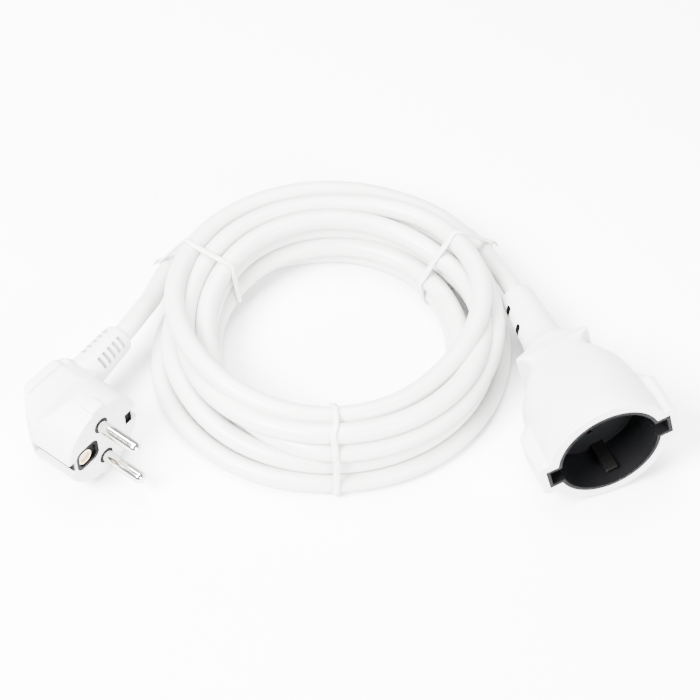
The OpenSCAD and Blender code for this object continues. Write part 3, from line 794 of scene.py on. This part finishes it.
outer_t += steps(26.5, 45.0, 37) + steps(45.2, 48.0, 14) + steps(48.3, 62.0, 30)
outer_t += steps(63.0, 84.0, 21) + steps(84.5, 87.0, 10)
shell_rows += [(t, "outer", 0.0) for t in outer_t]
shell_rows += [(87.0, "fixed", 4.16), (83.0, "fixed", 4.14), (83.0, "fixed", 0.0)]


def shell_point(angle, row):
    t, kind, value = shell_rows[row]
    k = int(round(angle / (2 * math.pi) * len(shell_angles))) % len(shell_angles)
    turn = shell_angles[k]
    if kind == "fixed":
        r = value
    elif kind == "insert":
        r = insert_radius(turn)
    elif kind == "face":
        r = insert_radius(turn) * (1 - value) + outer_radius(turn, 0.7) * value
    else:
        r = outer_radius(turn, t)
    return Vector((r * math.cos(turn), t, r * math.sin(turn))) * MM


print("socket shell:", len(shell_rows), "rows of", len(shell_angles), "points")

# %% [markdown]
# The rows become the shell, and four small windows are cut into its strain relief, two on
# each side. Their cut faces are painted near black: a painted shadow for the shade inside them.

# %% The socket's shell
WINDOW_TURN = 20
bm = bmesh.new()
skin(bm, len(shell_rows) - 1, len(shell_angles), shell_point)
socket_body = rough("socket_body", bm)
bm = bmesh.new()
for side in (0, 180):
    for t in (68.6, 79.2):
        turn = Matrix.Rotation(math.radians(side + WINDOW_TURN), 4, "Y")
        box(bm, (-12.0, t - 1.5, -2.8), (-4.7, t + 1.5, 2.8), turn=turn, round_off=1.2)
# The windows' cut faces are painted near black: painted shadow for the shade inside them.
combine(socket_body, rough("windows", bm, "painted_shadow_black"), "DIFFERENCE")
dress(socket_body, socket_place)
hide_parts("socket_shell")
print("socket shell:", len(socket_body.data.polygons), "faces")

# %% [markdown]
# ## The floor and the light
# A pale floor and one large soft light from the upper left give the white plastic its
# gentle shading. A second one from above and a weaker one from the front open the
# shadows, and the white world fills in the rest.

# %% Floor, lights and world
def stage_material(name, colour):
    mat = bpy.data.materials.new(name)
    mat.use_nodes = True
    tree = mat.node_tree
    shader = tree.nodes["Principled BSDF"]
    cloud = tree.nodes.new("ShaderNodeTexNoise")
    cloud.inputs["Scale"].default_value = 3.0
    tint = tree.nodes.new("ShaderNodeMix")
    tint.data_type = "RGBA"
    tint.inputs[6].default_value = (*[c * 0.99 for c in colour], 1)
    tint.inputs[7].default_value = (*colour, 1)
    tree.links.new(cloud.outputs["Fac"], tint.inputs[0])
    tree.links.new(tint.outputs[2], shader.inputs["Base Color"])
    shader.inputs["Roughness"].default_value = 0.9
    return mat


bm = bmesh.new()
bmesh.ops.create_grid(bm, x_segments=4, y_segments=4, size=2.0)
floor_mesh = bpy.data.meshes.new("floor")
bm.to_mesh(floor_mesh)
bm.free()
floor_mesh.materials.append(stage_material("floor", (0.98, 0.98, 0.98)))
floor = bpy.data.objects.new("floor", floor_mesh)
floor.location = (0, 0, -0.0002)
bpy.context.scene.collection.objects.link(floor)


def area_light(name, place, aim, size, power):
    data = bpy.data.lights.new(name, "AREA")
    data.shape = "DISK"
    data.size = size
    data.energy = power
    obj = bpy.data.objects.new(name, data)
    obj.location = place
    obj.rotation_euler = (Vector(place) - Vector(aim)).to_track_quat("Z", "Y").to_euler()
    bpy.context.scene.collection.objects.link(obj)
    return obj


area_light("key", (-0.75, -0.15, 0.85), (-0.07, 0.05, 0), 0.55, 110)
area_light("top", (-0.05, 0.35, 1.2), (-0.07, 0.05, 0), 0.9, 75)
area_light("front", (0.25, -1.0, 0.5), (-0.05, 0.0, 0), 0.6, 50)
world = bpy.data.worlds.new("world")
world.use_nodes = True
world.node_tree.nodes["Background"].inputs["Color"].default_value = (1, 1, 1, 1)
world.node_tree.nodes["Background"].inputs["Strength"].default_value = 0.6
bpy.context.scene.world = world
print("lights:", len(bpy.data.lights))

# %% [markdown]
# ## Ready-made parts
# The metal parts and the dark insert come from the engineering model as they are. They
# only need their finish.

# %% Finishes of the ready-made parts
READY = {
    "socket_well": "black_plastic", "plug_bridge": "black_plastic",
    "socket_carrier": "grey_plastic", "socket_shutter": "red_plastic",
    "plug_pin_line": "nickel", "plug_pin_neutral": "nickel",
    # the spring parts take the darkened metal, a painted shade rather than their own bright colour
    "plug_earth_bracket": "spring_strip", "socket_earth_clip": "spring_strip",
    "shutter_spring": "spring_strip", "shutter_pivot": "spring_strip",
    "plug_earth_sleeve": "brass", "socket_contact_line": "brass", "socket_contact_neutral": "brass",
    "plug_crimps": "tin", "socket_crimps": "tin",
    "plug_core_brown": "core_brown", "socket_core_brown": "core_brown",
    "plug_core_blue": "core_blue", "socket_core_blue": "core_blue",
    "plug_core_green_yellow": "core_green_yellow", "socket_core_green_yellow": "core_green_yellow",
}
for node, material in READY.items():
    obj = frame["nodes"][node]
    obj.data.materials.clear()
    obj.data.materials.append(finishes[material])
print("ready-made parts:", len(READY))
